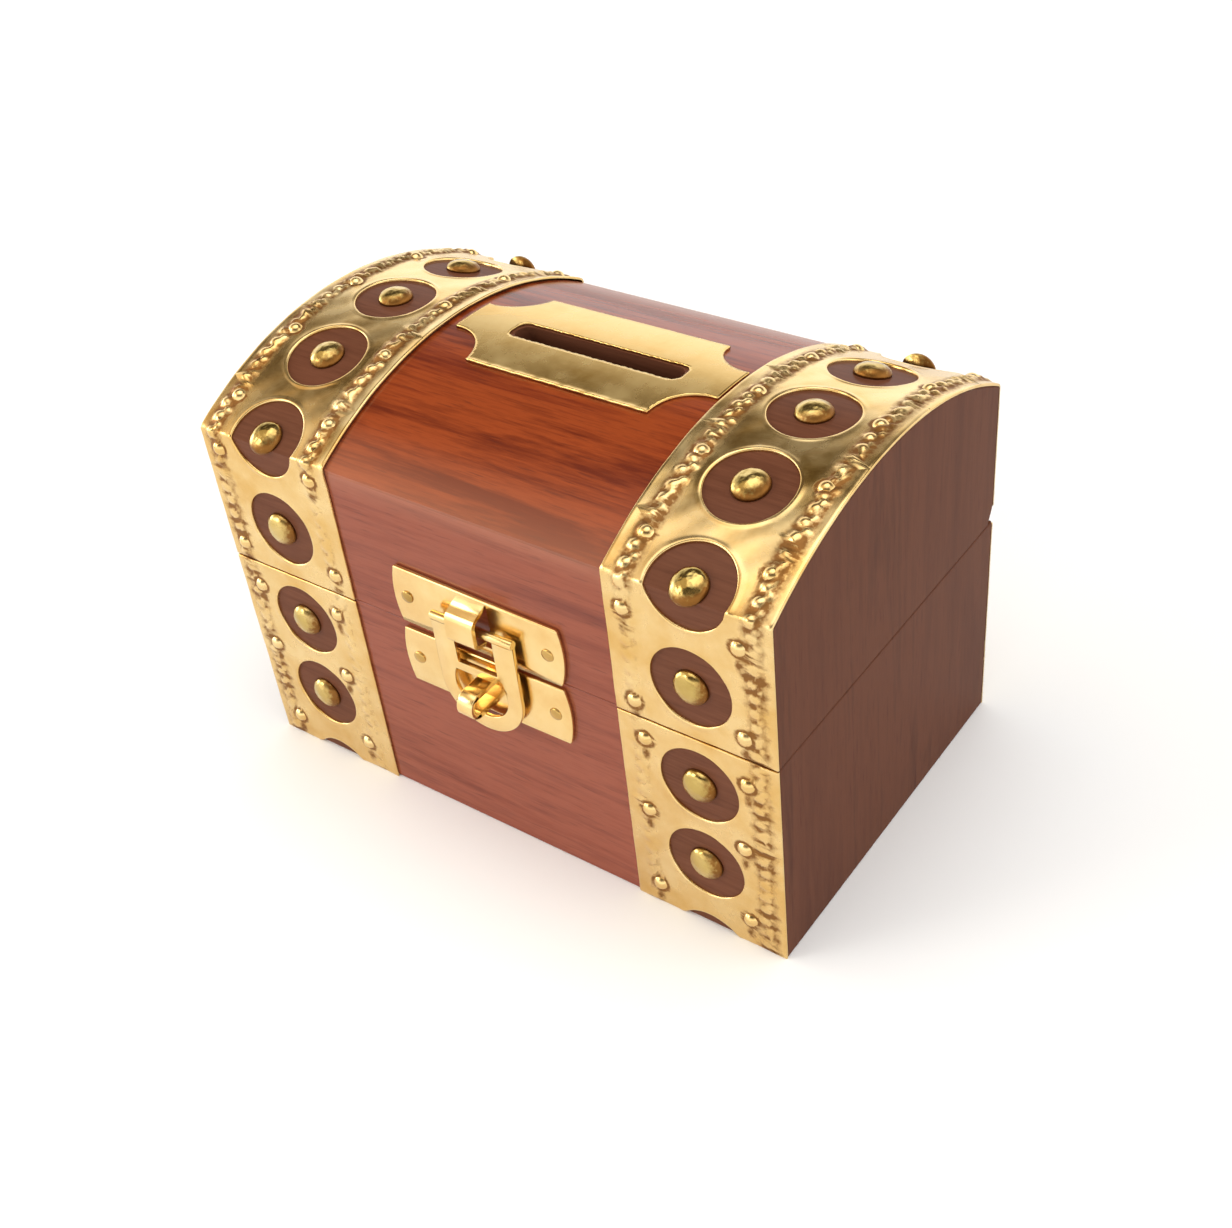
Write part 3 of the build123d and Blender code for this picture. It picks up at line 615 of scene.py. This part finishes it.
# The coin-slot plate. Thinner polished brass, cut to a panel with a scoop out of each corner,
# sprung over the dome and stuck down. Its hand-cut slot is a little ragged, and its front edge
# has a bright turned-up burr.
cell_mm = 0.4
draw_reach_mm = 0.45
plate_overlap_mm = 0.05
glue_mm = 0.05
plate_edge_mm = 0.14
scoop_radius_mm = 8.4
scoop_inset_mm = 0.8
slot_corner_mm = 2.0
slot_ragged_mm = 0.07
burr_mm = 0.3
burr_reach_mm = 0.4


def flat_sheet(name, low, high):
    """A flat grid in millimetres over a rectangle, ready to be punched."""
    bpy.ops.object.select_all(action="DESELECT")
    across, along = [round((high[i] - low[i]) / cell_mm) for i in (0, 1)]
    bpy.ops.mesh.primitive_grid_add(x_subdivisions=across, y_subdivisions=along, size=1)
    piece = bpy.context.object
    piece.name = name
    piece.scale = (high[0] - low[0], high[1] - low[1], 1)
    piece.location = ((low[0] + high[0]) / 2, (low[1] + high[1]) / 2, 0)
    bpy.ops.object.transform_apply(location=True, rotation=False, scale=True)
    return piece


def punch(piece, centre, gap, ragged_mm=0.0):
    """Punches one hole: faces whose middle is inside go, and the edge left is drawn onto its outline.

    gap(offsets) gives how far outside the outline each offset from the centre is, and ragged_mm how
    far the edge wanders off it."""
    take_up(piece)
    bpy.ops.object.mode_set(mode="EDIT")
    bpy.ops.mesh.select_mode(type="FACE")
    bpy.ops.mesh.select_all(action="DESELECT")
    bpy.ops.object.mode_set(mode="OBJECT")
    faces = piece.data.polygons
    middles = np.empty(len(faces) * 3, np.float32)
    faces.foreach_get("center", middles)
    offsets = middles.reshape(-1, 3)[:, :2] - centre
    faces.foreach_set("select", gap(offsets) < 0)
    bpy.ops.object.mode_set(mode="EDIT")
    bpy.ops.mesh.delete(type="FACE")
    bpy.ops.mesh.select_mode(type="VERT")
    bpy.ops.mesh.select_non_manifold()
    bpy.ops.object.mode_set(mode="OBJECT")
    on_edge = np.empty(len(piece.data.vertices), bool)
    piece.data.vertices.foreach_get("select", on_edge)
    points = read_points(piece)
    offsets = points[:, :2] - centre
    step = 0.001
    slope = np.stack([gap(offsets + way) - gap(offsets - way) for way in ((step, 0), (0, step))], axis=1)
    away = gap(offsets)
    drawn = on_edge & (np.abs(away) < draw_reach_mm)
    x, y = offsets.T
    wander = ragged_mm * (np.sin(4.1 * x) + 0.7 * np.sin(1.3 * x + y))
    points[drawn, :2] -= (slope / (2 * step) * (away + wander)[:, None])[drawn]
    write_points(piece, points)


# The plate's brass: a little deeper and duller than the straps, and nearly flat
plate_brass = polished_brass(
    "brass_plate_polished", [(0.3, "#CFA65B"), (0.52, "#DCB872"), (0.75, "#E5C684")], 0.26, 12.0, 0.06)
plate_low, plate_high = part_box("coin_slot_plate")
plate_middle_mm = (plate_low.y + plate_high.y) / 2 / MM
crown_v_mm = shoulder_mm + dome_radius_mm * dome_half_angle
plate_v_mm = crown_v_mm + plate_middle_mm
plate_half_mm = (plate_high.y - plate_low.y) / 2 / MM + plate_overlap_mm
plate = flat_sheet(
    "coin_slot_plate_sheet", (plate_low.x / MM, plate_v_mm - plate_half_mm),
    (plate_high.x / MM, plate_v_mm + plate_half_mm))
for x_mm, sign in ((plate_low.x / MM, 1), (plate_high.x / MM, -1)):
    for v_edge in (plate_v_mm - plate_half_mm, plate_v_mm + plate_half_mm):
        punch(plate, (x_mm + sign * scoop_inset_mm, v_edge),
              lambda offsets: np.hypot(*offsets.T) - scoop_radius_mm)


def slot_gap(offsets):
    """How far outside the coin slot, which has rounded corners, each offset from its middle is."""
    half_size = np.array([slot_length_mm, slot_width_mm]) / 2
    past = np.abs(offsets) - (half_size - slot_corner_mm)
    return np.hypot(*np.maximum(past, 0).T) + np.minimum(past.max(axis=1), 0) - slot_corner_mm


punch(plate, (slot_middle_mm[0], crown_v_mm + slot_middle_mm[1]), slot_gap, ragged_mm=slot_ragged_mm)
apply_modifier(plate, "SOLIDIFY", thickness=sheet_mm, offset=1.0)
apply_modifier(plate, "BEVEL", width=plate_edge_mm, segments=2, limit_method="ANGLE",
               angle_limit=math.radians(60))
bpy.ops.object.mode_set(mode="EDIT")
bpy.ops.mesh.select_all(action="SELECT")
bpy.ops.mesh.remove_doubles(threshold=0.02)
bpy.ops.object.mode_set(mode="OBJECT")
u, v, height = read_points(plate).T
from_front = v - (plate_v_mm - plate_half_mm)
uneven = 1 + 0.5 * np.sin(1.7 * u) * np.sin(0.6 * u)
burr = burr_mm * np.exp(-(from_front / burr_reach_mm) ** 2) * uneven
write_points(plate, on_skin(u, v, height + glue_mm + burr * np.clip(height / sheet_mm, 0, 1)))
name_grime_and_shade(plate, np.zeros(len(u)))
bpy.ops.object.shade_smooth()
plate.data.materials.append(plate_brass)
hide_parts("coin_slot_plate")
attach(plate, "lid")


# The hasp. Stamped brass plates with rolled edges, a framed flap that hangs from a tongue cut
# out of the lid's plate, and a strip staple. They are heavier and smoother than the straps.
tongue_patch_mm = ((-5.0, 7.0), (48.5, 60.0))
flush_radius_mm = 1.35
flush_height_mm = 0.5
flush_seat_mm = 0.12

# The hasp's brass: the palest and smoothest gold, clean in its corners
hasp_brass = polished_brass(
    "brass_hasp_polished", [(0.3, "#E0B877"), (0.55, "#EACB8C"), (0.75, "#F0D69C")], 0.2, 5.0, 0.10)


def softened(node, round_mm, body, bare=((0, 0), (0, 0))):
    """A copy of a CAD piece with its facets joined up and its sharp edges rounded over by round_mm.

    bare is a patch, as the X and Z limits in millimetres, where the edges are left as cut."""
    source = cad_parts[node]
    piece = source.copy()
    piece.data = source.data.copy()
    piece.parent = None
    for key in list(piece.keys()):
        del piece[key]
    piece.name = node + "_finished"
    bpy.context.scene.collection.objects.link(piece)
    take_up(piece)
    bpy.ops.object.mode_set(mode="EDIT")
    bpy.ops.mesh.select_all(action="SELECT")
    bpy.ops.mesh.remove_doubles(threshold=0.00001)
    bpy.ops.mesh.select_mode(type="EDGE")
    bpy.ops.mesh.select_all(action="DESELECT")
    bpy.ops.mesh.edges_select_sharp(sharpness=math.radians(40))
    bpy.ops.object.mode_set(mode="OBJECT")
    points = read_points(piece) / MM
    for edge in piece.data.edges:
        x, _, z = points[list(edge.vertices)].mean(axis=0)
        if bare[0][0] < x < bare[0][1] and bare[1][0] < z < bare[1][1]:
            edge.select = False
    bpy.ops.object.mode_set(mode="EDIT")
    bpy.ops.mesh.bevel(offset=round_mm * MM, segments=3, affect="EDGES", clamp_overlap=False)
    bpy.ops.object.mode_set(mode="OBJECT")
    bpy.ops.object.shade_smooth_by_angle(angle=math.radians(35))
    piece.data.materials.clear()
    piece.data.materials.append(hasp_brass)
    name_grime_and_shade(piece, np.zeros(len(piece.data.vertices)))
    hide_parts(node)
    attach(piece, body)


softened("hasp_lid_plate", 0.35, "lid", tongue_patch_mm)
softened("hasp_case_plate", 0.35, "case")
softened("hasp_flap", 0.2, "hasp_flap")
softened("hasp_staple", 0.25, "case")

# The small nails' brass: darker and more worn than the plates they hold
nail_dull = polished_brass(
    "brass_nail_tarnished", [(0.3, "#A9874A"), (0.55, "#C29D5C"), (0.75, "#D2B072")], 0.22, 1.2, 0.08)
for node, body in (("hasp_lid_nails", "lid"), ("hasp_case_nails", "case")):
    heads = []
    for i, (x, _, z) in enumerate(pin_places(node)):
        head = dome_head(f"{node}_{i}", flush_radius_mm, flush_height_mm, 60 + i)
        seat = Vector((x * MM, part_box(node)[0].y + flush_seat_mm * MM, z * MM))
        facing_front = Matrix.Rotation(math.radians(90), 4, "X") @ Matrix.Rotation(1.3 * i, 4, "Z")
        head.data.transform(Matrix.Translation(seat) @ facing_front @ Matrix.Scale(MM, 4))
        heads.append(head)
    join_up(heads, node + "_heads")
    heads[0].data.materials.append(nail_dull)
    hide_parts(node)
    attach(heads[0], body)


# The back hinges. Two small brass butt hinges: flat leaves let into the meeting edges, with
# their knuckles lying in the lid's bevel and turning on a plain wire pin.
for nails in ("hinge_lid_nails", "hinge_case_nails"):
    refinish(nails, nail_dull)
for side in ("left", "right"):
    for part in ("lid_leaf", "case_leaf", "pin"):
        refinish(f"hinge_{side}_{part}", hasp_brass)


# The studio. A plain near-white floor, surroundings that are bright at table height and darken
# overhead, five soft lamps (high left, front left, left, right and overhead), and the camera
# above the front right corner.
bpy.ops.object.select_all(action="DESELECT")
bpy.ops.mesh.primitive_plane_add(size=6)
floor = bpy.context.object
floor.name = "studio_floor"

# The floor's paper: matt white, clouded just enough not to be one flat tone
paper, paper_tree = new_material("paper_white_matt")
paper_place = add_node(paper_tree, "ShaderNodeTexCoord").outputs["Object"]
paper_cloud = add_node(paper_tree, "ShaderNodeTexNoise", {"Vector": paper_place, "Scale": 3.0})
paper_tone = add_node(paper_tree, "ShaderNodeValToRGB", {"Fac": paper_cloud.outputs["Fac"]})
set_stops(paper_tone, [(0.3, "#F8F8F7"), (0.7, "#FBFBFA")])
paper_shader = add_node(paper_tree, "ShaderNodeBsdfPrincipled", {
    "Base Color": paper_tone.outputs["Color"], "Roughness": 0.9})
paper_tree.links.new(paper_shader.outputs[0], add_node(paper_tree, "ShaderNodeOutputMaterial").inputs[0])
floor.data.materials.append(paper)

world = bpy.data.worlds.new("studio")
world.use_nodes = True
sky = world.node_tree
sky.nodes.clear()
looking = add_node(sky, "ShaderNodeTexCoord").outputs["Generated"]
height_of_view = add_node(sky, "ShaderNodeSeparateXYZ", {"Vector": looking}).outputs["Z"]
sky_ramp = add_node(sky, "ShaderNodeValToRGB", {"Fac": height_of_view})
set_stops(sky_ramp, [(0.0, "#F6F6F6"), (0.33, "#F6F6F6"), (0.42, "#D9D9D8"), (0.5, "#A6A5A3"),
                     (0.58, "#847D71"), (0.66, "#3A3126"), (0.845, "#4A4236"), (0.915, "#F0F0F0")])
surroundings = add_node(sky, "ShaderNodeBackground", {"Color": sky_ramp.outputs["Color"], "Strength": 1.9})
sky.links.new(surroundings.outputs[0], add_node(sky, "ShaderNodeOutputWorld").inputs[0])
bpy.context.scene.world = world

object_middle = Vector((0, 0, 0.04))


def soft_lamp(name, place, size, power, colour):
    """A square area lamp that points at the box."""
    lamp_data = bpy.data.lights.new(name, "AREA")
    lamp_data.size = size
    lamp_data.energy = power
    lamp_data.color = linear(colour)[:3]
    lamp = bpy.data.objects.new(name, lamp_data)
    lamp.location = place
    lamp.rotation_euler = (object_middle - Vector(place)).to_track_quat("-Z", "Y").to_euler()
    bpy.context.scene.collection.objects.link(lamp)


# Only the high left lamp is warm: it gives the brass and the dome their glow
soft_lamp("high_left_softbox", (-0.6, -0.42, 0.95), 0.9, 2.0, "#FFE9C8")
soft_lamp("front_left_softbox", (-0.67, -0.73, 0.6), 0.4, 2.4, "#FFFFFF")
soft_lamp("left_window", (-1.2, -0.25, 0.2), 0.5, 3.5, "#FFFFFF")
soft_lamp("right_softbox", (1.3, 0.3, 1.0), 1.2, 5.0, "#FFFFFF")
soft_lamp("overhead_softbox", (0.1, 0.2, 1.5), 1.0, 4.0, "#FFFFFF")

bpy.context.scene.view_settings.view_transform = "Standard"
camera_data = bpy.data.cameras.new("camera")
camera_data.sensor_width = 36.0
camera_data.lens = 47.68
camera = bpy.data.objects.new("camera", camera_data)
camera_place = Vector((0.1679, -0.2009, 0.2351))
camera_target = Vector((0.0052, -0.0061, 0.0338))
camera_roll = math.radians(-7.04)
aim = (camera_target - camera_place).to_track_quat("-Z", "Y").to_matrix().to_4x4()
camera.matrix_world = Matrix.Translation(camera_place) @ aim @ Matrix.Rotation(camera_roll, 4, "Z")
bpy.context.scene.collection.objects.link(camera)
bpy.context.scene.camera = camera
